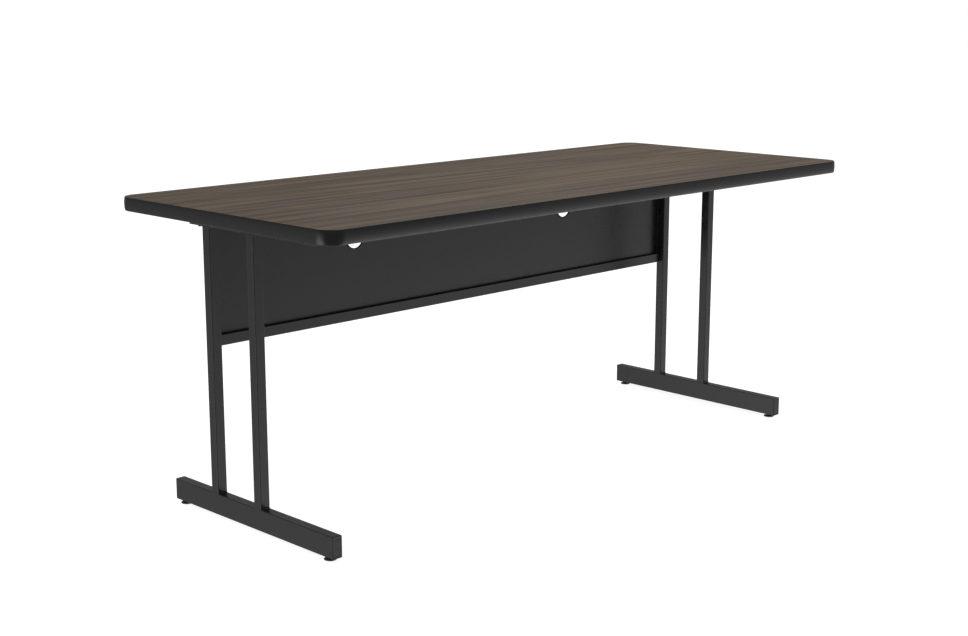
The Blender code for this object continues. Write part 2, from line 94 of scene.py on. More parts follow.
# Steps of round shapes
CORNER_STEPS = 28
NOSE_STEPS = 22
TUBE_STEPS = 6
ROUND_STEPS = 48
HOLE_STEPS = 96
THREAD_STEPS = 24
BEND_STEPS = 8
RIM_STEPS = 6
LIP_STEPS = 10
BELL_STEPS = 10
BEAD_STEPS = 5  # for each ripple

# Places of the hardware
ENDS = ("front", "rear")
GLIDES = ("front_left", "front_right", "rear_left", "rear_right")
GROMMETS = ("left_cable_grommet", "right_cable_grommet")

# Studio
FLOOR_RADIUS = 30.0
FLOOR_THICKNESS = 0.02
FLOOR_GLOW = 0.90
SOFTBOX_PLACE = (1.1, 0.2, 3.0)
SOFTBOX_AIM = (0.3, 0, 0.7)
SOFTBOX_SIZE = (3.0, 2.6)
SOFTBOX_POWER = 33
# Elevation in degrees and radiance. The lowest and the highest come first.
WORLD_LEVELS = [(-90, 0.32), (90, 0.90), (-30, 0.30), (-8, 0.25), (2, 0.17), (25, 0.15), (50, 0.36)]
WORLD_PATCHES = [  # azimuth, elevation, half-width in degrees, radiance
    (150, -24, 44, 0.33),
    (166, -26, 27, 2.00),
    (318, -38, 33, 1.20),
    (335, -28, 46, 0.30),
    (45, -40, 45, 1.00),
]

# Camera
CAMERA_PLACE = (-2.8279, -2.7251, 1.2030)
CAMERA_AIM = (-0.0718, 0.0307, 0.3801)
CAMERA_LENS = 57.87
CAMERA_SENSOR = 36
CAMERA_REACH = 100

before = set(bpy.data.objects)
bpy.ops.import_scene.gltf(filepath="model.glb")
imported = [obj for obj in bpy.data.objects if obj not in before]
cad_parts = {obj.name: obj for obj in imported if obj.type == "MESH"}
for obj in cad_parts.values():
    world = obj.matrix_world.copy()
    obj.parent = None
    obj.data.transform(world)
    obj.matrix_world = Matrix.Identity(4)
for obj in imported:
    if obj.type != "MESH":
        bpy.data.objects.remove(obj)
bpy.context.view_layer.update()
dice = random.Random(4)


# ---- Mesh making ----

def loft(name, loops, closed=False):
    """Skin over loops with the same number of points. Open ends get a face each."""
    count = len(loops[0])
    rows = len(loops)
    points = [point for loop in loops for point in loop]
    faces = []
    for row in range(rows if closed else rows - 1):
        here = row * count
        there = (row + 1) % rows * count
        for k in range(count):
            after = (k + 1) % count
            faces.append((here + k, here + after, there + after, there + k))
    if not closed:
        faces.append(tuple(reversed(range(count))))
        faces.append(tuple(range((rows - 1) * count, rows * count)))
    mesh = bpy.data.meshes.new(name)
    mesh.from_pydata(points, [], faces)
    turn_outward(mesh)
    return mesh


def turn_outward(mesh):
    shape = bmesh.new()
    shape.from_mesh(mesh)
    bmesh.ops.recalc_face_normals(shape, faces=shape.faces)
    shape.to_mesh(mesh)
    shape.free()


def ring(radius, z, count=ROUND_STEPS):
    turns = [2 * math.pi * k / count for k in range(count)]
    return [(radius * math.cos(t), radius * math.sin(t), z) for t in turns]


def hexagon(across_flats, z, limit=1.0, count=ROUND_STEPS):
    """Hexagon whose corners are cut by a circle of limit times the corner radius."""
    corner = across_flats / math.sqrt(3)
    loop = []
    for k in range(count):
        turn = 2 * math.pi * k / count
        flat = turn % (math.pi / 3) - math.pi / 6
        radius = min(across_flats / 2 / math.cos(flat), corner * limit)
        loop.append((radius * math.cos(turn), radius * math.sin(turn), z))
    return loop


def rounded_rectangle(width, depth, radius, steps=TUBE_STEPS):
    """Points (u, v) round a rectangle about the origin, anticlockwise."""
    points = []
    centre_u = width / 2 - radius
    centre_v = depth / 2 - radius
    for quarter, (side_u, side_v) in enumerate([(1, 1), (-1, 1), (-1, -1), (1, -1)]):
        for step in range(steps + 1):
            turn = math.pi / 2 * (quarter + step / steps)
            u = side_u * centre_u + radius * math.cos(turn)
            v = side_v * centre_v + radius * math.sin(turn)
            points.append((u, v))
    return points


def bent_strip(corners, radius, thickness, steps=BEND_STEPS):
    """Closed outline of a sheet bent along corners, the points of its middle line."""
    path = [Vector(point) for point in corners]
    middle = [(path[0], (path[1] - path[0]).normalized())]
    for before, corner, after in zip(path, path[1:], path[2:]):
        way_in = (corner - before).normalized()
        way_out = (after - corner).normalized()
        half_turn = way_in.angle(way_out) / 2
        reach = radius * math.tan(half_turn)
        side = math.copysign(1, way_in.cross(way_out))
        inward = Vector((-way_in.y, way_in.x)) * side
        centre = corner - way_in * reach + inward * radius
        for step in range(steps + 1):
            spin = Matrix.Rotation(side * 2 * half_turn * step / steps, 2)
            middle.append((centre - spin @ inward * radius, spin @ way_in))
    middle.append((path[-1], (path[-1] - path[-2]).normalized()))
    left = [point + Vector((-way.y, way.x)) * thickness / 2 for point, way in middle]
    right = [point - Vector((-way.y, way.x)) * thickness / 2 for point, way in middle]
    return [tuple(point) for point in left + right[::-1]]


def threaded(core, major, pitch, low, high, count=THREAD_STEPS, rows_per_turn=8):
    """Loops of a right-hand threaded rod from low to high."""
    rows = max(2, round((high - low) / pitch * rows_per_turn))
    loops = []
    for row in range(rows + 1):
        z = low + (high - low) * row / rows
        fade = min(1.0, (z - low) / pitch, (high - z) / pitch)
        loop = []
        for k in range(count):
            turn = 2 * math.pi * k / count
            phase = (z / pitch - k / count) % 1
            ridge = min(1.0, max(0.0, 1.35 * abs(2 * phase - 1) - 0.15))
            radius = core + (major - core) * ridge * fade
            loop.append((radius * math.cos(turn), radius * math.sin(turn), z))
        loops.append(loop)
    return loops


# ---- Pieces ----

def add_piece(name, mesh, slot, nodes=(), body="frame", place=(0, 0, 0), turn=(0, 0, 0)):
    """A piece of the desk that stands for CAD nodes."""
    piece = bpy.data.objects.new(name, mesh)
    bpy.context.scene.collection.objects.link(piece)
    piece.location = place
    piece.rotation_euler = turn
    if not mesh.materials:
        mesh.materials.append(finishes[slot])
    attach(piece, body)
    if nodes:
        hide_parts(*nodes)
    return piece


def smooth(mesh, angle=35):
    mesh.shade_smooth()
    mesh.set_sharp_from_angle(angle=math.radians(angle))
    return mesh


def soften(piece, width, segments=2, angle=40):
    """Rounds the hard edges and keeps the flat faces flat in the shading."""
    bevel = piece.modifiers.new("edges", "BEVEL")
    bevel.width = width
    bevel.segments = segments
    bevel.limit_method = "ANGLE"
    bevel.angle_limit = math.radians(angle)
    bevel.miter_outer = "MITER_ARC"
    flatten(piece)


def flatten(piece):
    normals = piece.modifiers.new("normals", "WEIGHTED_NORMAL")
    normals.keep_sharp = True
    normals.weight = 100


def combine(mesh, other, operation):
    """The Boolean result of two meshes, as a new mesh."""
    first = bpy.data.objects.new("first", mesh)
    second = bpy.data.objects.new("second", other)
    for item in (first, second):
        bpy.context.scene.collection.objects.link(item)
    cut = first.modifiers.new("cut", "BOOLEAN")
    cut.operation = operation
    cut.object = second
    cut.solver = "EXACT"
    bpy.context.view_layer.update()
    result = bpy.data.meshes.new_from_object(first.evaluated_get(bpy.context.evaluated_depsgraph_get()))
    for item in (first, second):
        bpy.data.objects.remove(item)
    return result


# ---- Material nodes ----

class Finish:
    """A Principled material, with short calls that add nodes to it."""

    def __init__(self, name, colour, roughness, metallic=0.0, **sockets):
        self.material = bpy.data.materials.new(name)
        self.material.use_nodes = True
        self.tree = self.material.node_tree
        self.shader = self.tree.nodes["Principled BSDF"]
        self.shader.inputs["Base Color"].default_value = (*colour, 1)
        self.shader.inputs["Roughness"].default_value = roughness
        self.shader.inputs["Metallic"].default_value = metallic
        for socket, value in sockets.items():
            self.shader.inputs[socket.replace("_", " ")].default_value = value
        self.place = self.add("TexCoord").outputs["Object"]

    def add(self, kind, settings=(), inputs=()):
        item = self.tree.nodes.new("ShaderNode" + kind)
        for key, value in dict(settings).items():
            setattr(item, key, value)
        for key, value in dict(inputs).items():
            self.put(item.inputs[key], value)
        return item

    def put(self, socket, value):
        if isinstance(value, bpy.types.NodeSocket):
            self.tree.links.new(value, socket)
        else:
            socket.default_value = value

    def set(self, socket, value):
        self.put(self.shader.inputs[socket], value)

    def math(self, operation, *values):
        return self.add("Math", {"operation": operation}, enumerate(values)).outputs[0]

    def stretched(self, x, y, z, place=None):
        scaled = {0: place or self.place, 1: (x, y, z)}
        return self.add("VectorMath", {"operation": "MULTIPLY"}, scaled).outputs[0]

    def noise(self, scale, detail=2.0, roughness=0.5, place=None, distortion=0.0):
        sockets = {
            "Vector": place or self.place,
            "Scale": scale,
            "Detail": detail,
            "Roughness": roughness,
            "Distortion": distortion,
        }
        return self.add("TexNoise", (), sockets).outputs["Fac"]

    def speckle(self, scale, place=None):
        sockets = {"Vector": place or self.place, "Scale": scale}
        return self.add("TexVoronoi", (), sockets).outputs["Distance"]

    def remap(self, value, low, high, to_low=0.0, to_high=1.0, kind="SMOOTHSTEP"):
        settings = {"interpolation_type": kind}
        sockets = {"Value": value, "From Min": low, "From Max": high, "To Min": to_low, "To Max": to_high}
        return self.add("MapRange", settings, sockets).outputs["Result"]

    def mix(self, factor, first, second, blend="MIX"):
        """Mix of two colours, each an output or three numbers."""
        item = self.add("Mix", {"data_type": "RGBA", "blend_type": blend})
        self.put(item.inputs[0], factor)
        for socket, colour in ((item.inputs[6], first), (item.inputs[7], second)):
            self.put(socket, (*colour, 1) if isinstance(colour, tuple) else colour)
        return item.outputs[2]

    def bump(self, height, distance, strength=1.0, before=None):
        sockets = {"Height": height, "Distance": distance, "Strength": strength}
        if before:
            sockets["Normal"] = before
        return self.add("Bump", (), sockets).outputs["Normal"]

    def edges(self, low=0.52, high=0.60):
        """1 on worn outer edges, 0 on flat faces."""
        return self.remap(self.add("NewGeometry").outputs["Pointiness"], low, high)


def walnut_laminate():
    """Matt walnut pattern, printed: straight grain along X, with fine embossed pores."""
    look = Finish("wood_laminate", (0.085, 0.056, 0.030), 0.5, Specular_IOR_Level=0.27)
    sway = look.noise(1.0, 2.0, 0.5, look.stretched(0.9, 3.0, 1.0))
    sway = look.math("MULTIPLY", look.math("SUBTRACT", sway, 0.5), 0.030)
    offset = look.add("CombineXYZ", (), {"Y": sway}).outputs[0]
    grain = look.add("VectorMath", {"operation": "ADD"}, {0: look.place, 1: offset}).outputs[0]
    bands = look.noise(1.0, 1.0, 0.5, look.stretched(0.9, 24.0, 1.0, grain))
    strands = look.noise(1.0, 2.0, 0.5, look.stretched(1.6, 105.0, 1.0, grain))
    fibres = look.noise(1.0, 4.0, 0.7, look.stretched(3.2, 210.0, 1.0, grain))
    tone = look.math("MULTIPLY", bands, 0.06)
    tone = look.math("MULTIPLY_ADD", strands, 0.58, tone)
    tone = look.math("MULTIPLY_ADD", fibres, 0.36, tone)
    shade = look.add("ValToRGB", (), {"Fac": tone})
    stops = shade.color_ramp.elements
    stops[0].position = 0.42
    stops[0].color = (0.037, 0.023, 0.011, 1)
    stops[1].position = 0.58
    stops[1].color = (0.156, 0.103, 0.054, 1)
    middle = stops.new(0.50)
    middle.color = (0.085, 0.056, 0.030, 1)
    colour = shade.outputs["Color"]
    greyer = look.noise(1.4, 1.0, 0.5, look.stretched(1.0, 2.0, 1.0))
    colour = look.mix(look.remap(greyer, 0.35, 0.65, 0.0, 0.20), colour, (0.082, 0.058, 0.036))
    pore_cells = look.noise(1.0, 2.0, 0.6, look.stretched(26.0, 900.0, 1.0, grain))
    pores = look.remap(pore_cells, 0.60, 0.70)
    colour = look.mix(look.math("MULTIPLY", pores, 0.45), colour, (0.032, 0.024, 0.019))
    look.set("Base Color", colour)
    rough = look.remap(fibres, 0.3, 0.7, 0.46, 0.56)
    smears = look.noise(5.0, 3.0, 0.6)
    look.set("Roughness", look.math("ADD", rough, look.remap(smears, 0.4, 0.7, -0.03, 0.04)))
    emboss = look.math("MULTIPLY_ADD", pores, -1.0, look.math("MULTIPLY", fibres, 0.5))
    texture = look.bump(look.noise(1500.0, 1.0), 0.00002, 0.6)
    look.set("Normal", look.bump(emboss, 0.00006, 0.7, texture))
    return look.material


def vinyl_molding():
    """Extruded black vinyl: satin, with faint lines along the extrusion and light handling marks."""
    look = Finish("edge_molding", (0.009, 0.009, 0.0095), 0.30, Specular_IOR_Level=0.45)
    haze = look.noise(22.0, 3.0, 0.6)
    look.set("Base Color", look.mix(haze, (0.0070, 0.0070, 0.0074), (0.0105, 0.0105, 0.0110)))
    lines = look.noise(1.0, 2.0, 0.5, look.stretched(2.0, 2.0, 1400.0))
    rough = look.remap(look.noise(60.0, 4.0, 0.6), 0.35, 0.7, 0.25, 0.33)
    scuffs = look.remap(look.noise(1.0, 3.0, 0.7, look.stretched(40.0, 40.0, 700.0)), 0.66, 0.74)
    look.set("Roughness", look.math("MULTIPLY_ADD", scuffs, 0.10, rough))
    pebble = look.bump(look.noise(700.0, 2.0), 0.00003, 0.25)
    look.set("Normal", look.bump(lines, 0.00002, 0.25, pebble))
    return look.material


def powder_coat():
    """Semi-gloss black powder coat with its orange peel, a little thinner and brighter on the edges."""
    look = Finish("black_steel", (0.013, 0.013, 0.0135), 0.3)
    patches = look.noise(14.0, 3.0, 0.5)
    colour = look.mix(patches, (0.0190, 0.0186, 0.0190), (0.0230, 0.0226, 0.0231))
    dust = look.remap(look.speckle(420.0, look.stretched(1.0, 1.0, 0.35)), 0.05, 0.09, 1.0, 0.0)
    dust = look.math("MULTIPLY", dust, look.remap(look.noise(9.0, 2.0), 0.5, 0.7, 0.0, 0.12))
    colour = look.mix(dust, colour, (0.09, 0.085, 0.08))
    colour = look.mix(look.math("MULTIPLY", look.edges(), 0.25), colour, (0.035, 0.035, 0.036))
    look.set("Base Color", colour)
    rough = look.remap(look.noise(35.0, 4.0, 0.6), 0.35, 0.7, 0.27, 0.35)
    rub = look.remap(look.noise(1.0, 4.0, 0.7, look.stretched(60.0, 12.0, 260.0)), 0.62, 0.72, 0.0, 0.07)
    look.set("Roughness", look.math("ADD", rough, rub))
    peel = look.noise(520.0, 2.0, 0.45)
    grit = look.bump(look.noise(2600.0, 1.0), 0.000006, 0.15)
    look.set("Normal", look.bump(peel, 0.00005, 0.35, grit))
    return look.material


def moulded_plastic(name, colour, roughness, grain_scale, grain_height):
    """Injection-moulded plastic with a spark-eroded grain, polished a little on its edges."""
    look = Finish(name, colour, roughness)
    darker = tuple(value * 0.85 for value in colour)
    lighter = tuple(value * 1.25 for value in colour)
    look.set("Base Color", look.mix(look.noise(45.0, 3.0), darker, lighter))
    spread = look.remap(look.noise(80.0, 3.0, 0.6), 0.3, 0.7, roughness - 0.05, roughness + 0.05)
    look.set("Roughness", look.math("MULTIPLY_ADD", look.edges(), -0.08, spread))
    grain = look.speckle(grain_scale)
    fine = look.bump(look.noise(grain_scale * 2.3, 2.0), grain_height * 0.6, 0.5)
    look.set("Normal", look.bump(grain, grain_height, 0.5, fine))
    return look


def nylon_with_painted_floor_light():
    """Moulded nylon with grey scratches round the rim, and painted floor light: the rim's lowest 2.2 mm is
    lightened where the floor would light it.
    """
    look = moulded_plastic("black_nylon", (0.080, 0.080, 0.081), 0.36, 1600.0, 0.00002)
    scratches = look.noise(1.0, 4.0, 0.7, look.stretched(500.0, 500.0, 2600.0))
    height = look.add("SeparateXYZ", (), {"Vector": look.place}).outputs["Z"]
    # Painted floor light: the colour is lighter in the lowest 2.2 mm above the floor, broken up by the
    # scratch noise.
    painted_floor_light = look.remap(height, 0.0, 0.0022, 1.0, 0.0)
    scratches_and_painted_floor_light = look.math("MULTIPLY", look.remap(scratches, 0.55, 0.68), painted_floor_light)
    base = look.shader.inputs["Base Color"].links[0].from_socket
    # Lighter grey near the floor: partly scratches, partly painted floor light.
    look.set("Base Color", look.mix(look.math("MULTIPLY", scratches_and_painted_floor_light, 0.6), base, (0.120, 0.117, 0.112)))
    return look.material


def plated(name, colour, roughness, tint):
    """Electroplated steel: faint crystal patches, fine scratches and a passivated tint."""
    look = Finish(name, colour, roughness, 1.0)
    crystals = look.speckle(2400.0)
    hue = look.remap(look.noise(260.0, 3.0), 0.35, 0.65)
    look.set("Base Color", look.mix(hue, colour, tint))
    scratches = look.remap(look.noise(1.0, 3.0, 0.7, look.stretched(300.0, 300.0, 3600.0)), 0.55, 0.7)
    spread = look.remap(crystals, 0.0, 0.5, roughness - 0.07, roughness + 0.07)
    look.set("Roughness", look.math("MULTIPLY_ADD", scratches, 0.12, spread))
    look.set("Normal", look.bump(crystals, 0.00002, 0.35))
    return look.material


def rubber():
    """Black rubber with a faint grey bloom."""
    look = Finish("black_rubber", (0.018, 0.018, 0.018), 0.5, Specular_IOR_Level=0.45)
    bloom = look.remap(look.noise(120.0, 4.0, 0.65), 0.5, 0.75, 0.0, 0.5)
    look.set("Base Color", look.mix(bloom, (0.016, 0.016, 0.016), (0.026, 0.026, 0.0265)))
    look.set("Roughness", look.remap(look.noise(300.0, 3.0), 0.3, 0.7, 0.44, 0.56))
    look.set("Normal", look.bump(look.noise(1800.0, 3.0, 0.6), 0.00004, 0.6))
    return look.material


def particle_board():
    """Pressed chips of several colours."""
    look = Finish("particle_board", (0.42, 0.30, 0.18), 0.9)
    place = look.stretched(260.0, 260.0, 620.0)
    chips = look.add("TexVoronoi", (), {"Vector": place, "Scale": 1.0, "Randomness": 1.0})
    pick = look.add("SeparateColor", (), {"Color": chips.outputs["Color"]}).outputs[0]
    colour = look.mix(pick, (0.30, 0.20, 0.11), (0.56, 0.43, 0.28))
    look.set("Base Color", look.mix(look.noise(900.0, 3.0), colour, (0.40, 0.29, 0.17)))
    look.set("Roughness", look.remap(pick, 0.0, 1.0, 0.82, 0.95))
    look.set("Normal", look.bump(chips.outputs["Distance"], 0.0002, 0.6))
    return look.material


def phenolic_backer():
    """Brown kraft backing sheet with a sanded, fibrous face."""
    look = Finish("backer", (0.12, 0.09, 0.065), 0.7, Specular_IOR_Level=0.3)
    fibres = look.noise(1.0, 4.0, 0.7, look.stretched(60.0, 420.0, 1.0))
    clouds = look.noise(7.0, 3.0, 0.55)
    colour = look.mix(fibres, (0.095, 0.068, 0.046), (0.150, 0.115, 0.085))
    look.set("Base Color", look.mix(look.math("MULTIPLY", clouds, 0.4), colour, (0.125, 0.098, 0.074)))
    look.set("Roughness", look.remap(fibres, 0.3, 0.7, 0.62, 0.76))
    look.set("Normal", look.bump(fibres, 0.00005, 0.6))
    return look.material


def make_finishes():
    plastic = moulded_plastic("black_plastic", (0.012, 0.012, 0.0125), 0.45, 1300.0, 0.00004)
    return {
        "wood_laminate": walnut_laminate(),
        "edge_molding": vinyl_molding(),
        "black_steel": powder_coat(),
        "black_plastic": plastic.material,
        "black_nylon": nylon_with_painted_floor_light(),
        "zinc": plated("zinc", (0.56, 0.57, 0.59), 0.32, (0.50, 0.52, 0.53)),
        "black_screw": plated("black_screw", (0.035, 0.035, 0.037), 0.38, (0.05, 0.048, 0.046)),
        "black_rubber": rubber(),
        "particle_board": particle_board(),
        "backer": phenolic_backer(),
    }


# ---- Desktop ----

def edge_stations(radius):
    """Corner arcs of the desktop at this radius about the corner centres: (x, y, outward x, outward y).

    They run from the middle of the rear edge through both ends back to it.
    """
    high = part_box("edge_molding")[1]
    centre_x = high.x - CORNER_RADIUS
    centre_y = high.y - CORNER_RADIUS
    stations = []
    for quarter, (side_x, side_y) in enumerate([(-1, 1), (-1, -1), (1, -1), (1, 1)], 1):
        for step in range(CORNER_STEPS + 1):
            turn = math.pi / 2 * (quarter + step / CORNER_STEPS)
            out_x, out_y = math.cos(turn), math.sin(turn)
            x = side_x * centre_x + radius * out_x
            y = side_y * centre_y + radius * out_y
            stations.append((x, y, out_x, out_y))
    return stations


def board_loop(inset, z):
    stations = edge_stations(CORNER_RADIUS - NOSE_DEPTH - inset)
    return [(x, y, z) for x, y, _, _ in stations]


def make_boards():
    low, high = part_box("top_laminate")
    loops = [
        board_loop(0, low.z),
        board_loop(0, high.z - LAMINATE_CHAMFER),
        board_loop(LAMINATE_CHAMFER, high.z),
    ]
    laminate = smooth(loft("top_laminate_sheet", loops), 30)
    flatten(add_piece("laminate_top", laminate, "wood_laminate", ["top_laminate"]))

    low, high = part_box("backer_sheet")
    loops = [
        board_loop(LAMINATE_CHAMFER, low.z),
        board_loop(0, low.z + LAMINATE_CHAMFER),
        board_loop(0, high.z),
    ]
    backer = smooth(loft("backer_sheet_mesh", loops), 30)
    flatten(add_piece("backer", backer, "backer", ["backer_sheet"]))

    low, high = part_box("core_board")
    edge_low, edge_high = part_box("edge_molding")
    middle = (edge_low.z + edge_high.z) / 2
    loops = [
        board_loop(0, low.z),
        board_loop(0, middle - GROOVE_HEIGHT / 2),
        board_loop(GROOVE_DEPTH, middle - GROOVE_HEIGHT / 2),
        board_loop(GROOVE_DEPTH, middle + GROOVE_HEIGHT / 2),
        board_loop(0, middle + GROOVE_HEIGHT / 2),
        board_loop(0, high.z),
    ]
    core = smooth(loft("core_board_mesh", loops), 30)
    flatten(add_piece("core", core, "particle_board", ["core_board"]))


def molding_profile(half_height):
    """(distance outward from the boards' edge, height above the middle) round the T section."""
    points = []
    for step in range(NOSE_STEPS + 1):
        turn = math.pi * (step / NOSE_STEPS - 0.5)
        across = abs(math.cos(turn)) ** (2 / NOSE_FULLNESS)
        along = abs(math.sin(turn)) ** (2 / NOSE_FULLNESS)
        outward = GAP / 2 + (NOSE_DEPTH - GAP / 2) * across
        points.append((outward, math.copysign(half_height * along, turn)))
    thin = TONGUE_THICKNESS / 2
    thick = BARB_THICKNESS / 2
    upper = [(GAP / 2, thin)]
    for share in BARB_PLACES:
        barb = -TONGUE_LENGTH * share
        upper += [(barb + (thick - thin), thin), (barb + (thick - thin), thick), (barb, thin)]
    upper.append((-TONGUE_LENGTH, thin / 2))
    lower = [(outward, -height) for outward, height in reversed(upper)]
    return points + upper + lower


def make_molding():
    low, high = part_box("edge_molding")
    middle = (low.z + high.z) / 2
    profile = molding_profile((high.z - low.z) / 2)
    board = CORNER_RADIUS - NOSE_DEPTH
    stations = edge_stations(board)
    joint = (MOLDING_JOINT / 2, high.y - NOSE_DEPTH, 0.0, 1.0)
    start = (-joint[0], *joint[1:])
    loops = []
    for x, y, out_x, out_y in [start, *stations, joint]:
        loops.append([(x + out * out_x, y + out * out_y, middle + up) for out, up in profile])
    mesh = smooth(loft("edge_molding_mesh", loops), 50)
    flatten(add_piece("edge_band", mesh, "edge_molding", ["edge_molding"]))


# ---- Leg frames ----

def make_tube(node, reach=0.0):
    """A hollow tube along the CAD tube's longest side, reach longer at each end."""
    low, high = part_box(node)
    size = high - low
    middle = (low + high) / 2
    along = max(range(3), key=lambda axis: size[axis])
    first, second = [axis for axis in range(3) if axis != along]
    half = size[along] / 2 + reach

    def loop(inset, end):
        outline = rounded_rectangle(size[first] - 2 * inset, size[second] - 2 * inset, TUBE_CORNER - inset)
        points = []
        for u, v in outline:
            point = middle.copy()
            point[first] += u
            point[second] += v
            point[along] += end
            points.append(tuple(point))
        return points

    loops = [loop(0, -half), loop(0, half), loop(TUBE_WALL, half), loop(TUBE_WALL, -half)]
    mesh = smooth(loft(node + "_tube", loops, closed=True))
    soften(add_piece(node + "_coated", mesh, "black_steel", [node]), TUBE_EDGE)


def make_cap(node):
    """Pressed-in tube end: rounded flange with a shallow dished face, and a plug inside the tube."""
    low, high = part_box(node)
    sign = -1 if node.endswith("front") else 1
    face = high.y if sign > 0 else low.y
    middle_x = (low.x + high.x) / 2
    middle_z = (low.z + high.z) / 2
    width = high.x - low.x
    depth = high.z - low.z
    arc = [math.pi / 2 * step / RIM_STEPS for step in range(RIM_STEPS + 1)]
    plug = TUBE_WALL + GAP
    steps = list(CAP_RECESS)
    steps += [(CAP_ROUNDING * (1 - math.sin(t)), CAP_ROUNDING * (1 - math.cos(t))) for t in arc]
    steps += [(0.0, CAP_FLANGE - 0.0001), (0.0001, CAP_FLANGE)]
    steps += [(plug, CAP_FLANGE), (plug, CAP_PLUG), (plug + 0.0005, CAP_PLUG_END)]
    loops = []
    for inset, back in steps:
        radius = max(TUBE_CORNER - inset, 0.0004)
        outline = rounded_rectangle(width - 2 * inset, depth - 2 * inset, radius)
        loops.append([(middle_x + u, face - sign * back, middle_z + v) for u, v in outline])
    mesh = smooth(loft(node + "_moulding", loops), 30)
    flatten(add_piece(node + "_moulded", mesh, "black_plastic", [node]))


def make_weld(name, x, y, z, width, depth):
    """A rippled bead round the foot or head of an upright."""
    outline = rounded_rectangle(width - 2 * BEAD_INSET, depth + GAP, TUBE_CORNER, 8)
    path = [Vector((x + u, y + v, z)) for u, v in outline]
    up = Vector((0, 0, 1))
    lengths = [(b - a).length for a, b in zip(path, path[1:] + path[:1])]
    total = sum(lengths)
    count = round(total / BEAD_PITCH) * BEAD_STEPS
    loops = []
    travelled = 0.0
    leg = 0
    for number in range(count):
        distance = total * number / count
        while travelled + lengths[leg] < distance:
            travelled += lengths[leg]
            leg += 1
        ahead = (path[(leg + 1) % len(path)] - path[leg]).normalized()
        centre = path[leg] + ahead * (distance - travelled)
        side = Vector((ahead.y, -ahead.x, 0))
        wave = abs(math.sin(math.pi * distance / BEAD_PITCH))
        radius = BEAD_RADIUS + BEAD_RIPPLE * wave + dice.uniform(-BEAD_SPREAD, BEAD_SPREAD)
        loop = []
        for k in range(BEAD_SIDES):
            turn = 2 * math.pi * k / BEAD_SIDES
            loop.append(tuple(centre + radius * (math.cos(turn) * side + math.sin(turn) * up)))
        loops.append(loop)
    mesh = smooth(loft(name, loops, closed=True), 60)
    add_piece(name, mesh, "black_steel")


def make_legs():
    for side in ("left", "right"):
        make_tube(f"{side}_foot_tube")
        make_tube(f"{side}_top_support")
        for place in ENDS:
            upright = f"{side}_{place}_upright"
            make_tube(upright, GAP * 0.9)
            low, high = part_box(upright)
            middle = (low + high) / 2
            across = (high.x - low.x, high.y - low.y)
            for end, z in (("foot", low.z), ("head", high.z)):
                make_weld(f"{upright}_{end}_weld", middle.x, middle.y, z, *across)
            make_cap(f"{side}_foot_cap_{place}")
            make_cap(f"{side}_support_cap_{place}")


# ---- Modesty panel ----

def disc_cutter(x, y, z, radius, length):
    loops = []
    for end in (-length / 2, length / 2):
        loops.append([(x + u, y + end, z + v) for u, v, _ in ring(radius, 0, HOLE_STEPS)])
    return loft("disc", loops)


def make_panel():
    """The folded sheet, in one piece with its flanges and its foot."""
    low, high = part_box("modesty_panel")
    lip_low, lip_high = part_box("panel_foot_lip")
    flange_low, flange_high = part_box("left_panel_flange")
    top_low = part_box("panel_top_flange")[0]
    half = high.x - SHEET / 2 - CORNER_RELIEF
    sheet_y = high.y - SHEET / 2
    section = [
        (lip_low.y + SHEET / 2, lip_high.z),
        (lip_low.y + SHEET / 2, low.z + SHEET / 2),
        (sheet_y, low.z + SHEET / 2),
        (sheet_y, high.z - SHEET / 2),
        (top_low.y, high.z - SHEET / 2),
    ]
    outline = bent_strip(section, BEND_RADIUS, SHEET)
    body = loft("panel_body", [[(x, y, z) for y, z in outline] for x in (-half, half)])
    side = high.x - SHEET / 2
    plan = [(-side, flange_low.y), (-side, sheet_y), (side, sheet_y), (side, flange_low.y)]
    outline = bent_strip(plan, BEND_RADIUS, SHEET)
    heights = (flange_low.z, flange_high.z)
    sides = loft("panel_sides", [[(x, y, z) for x, y in outline] for z in heights])
    mesh = combine(body, sides, "UNION")
    for name in GROMMETS:
        hole_low, hole_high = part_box(name)
        hole = (hole_low + hole_high) / 2
        cutter = disc_cutter(hole.x, hole.y, hole.z, CABLE_HOLE_RADIUS + GROMMET_WALL, 0.02)
        mesh = combine(mesh, cutter, "DIFFERENCE")
    mesh.name = "folded_panel"
    mesh.materials.clear()
    nodes = ["modesty_panel", "left_panel_flange", "right_panel_flange"]
    nodes += ["panel_top_flange", "panel_foot_web", "panel_foot_lip"]
    panel = add_piece("folded_panel", smooth(mesh), "black_steel", nodes)
    soften(panel, SHEET_EDGE)


def make_grommets():
    """Rubber ring whose half-round lips hold it to both faces of the sheet."""
    low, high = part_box("left_cable_grommet")
    outer = (high.x - low.x) / 2
    inner = CABLE_HOLE_RADIUS
    seat = CABLE_HOLE_RADIUS + GROMMET_WALL - GAP
    groove = SHEET / 2 + GAP / 2
    lip = (high.y - low.y) / 2 - groove
    profile = []
    for sign in (1, -1):
        arc = []
        for step in range(LIP_STEPS + 1):
            turn = math.pi * step / LIP_STEPS
            radius = (inner + outer) / 2 - (outer - inner) / 2 * math.cos(turn)
            arc.append((radius, sign * (groove + lip * math.sin(turn) ** GROMMET_SQUARENESS)))
        arc.append((seat, sign * groove))
        profile += arc if sign > 0 else arc[::-1]
    mesh = smooth(loft("grommet_ring", [ring(r, z, HOLE_STEPS) for r, z in profile], closed=True), 45)
    for name in GROMMETS:
        low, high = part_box(name)
        centre = (low + high) / 2
        turn = (math.pi / 2, 0, 0)
        add_piece(name + "_ring", mesh, "black_rubber", [name], "frame", centre, turn)


# ---- Screws ----

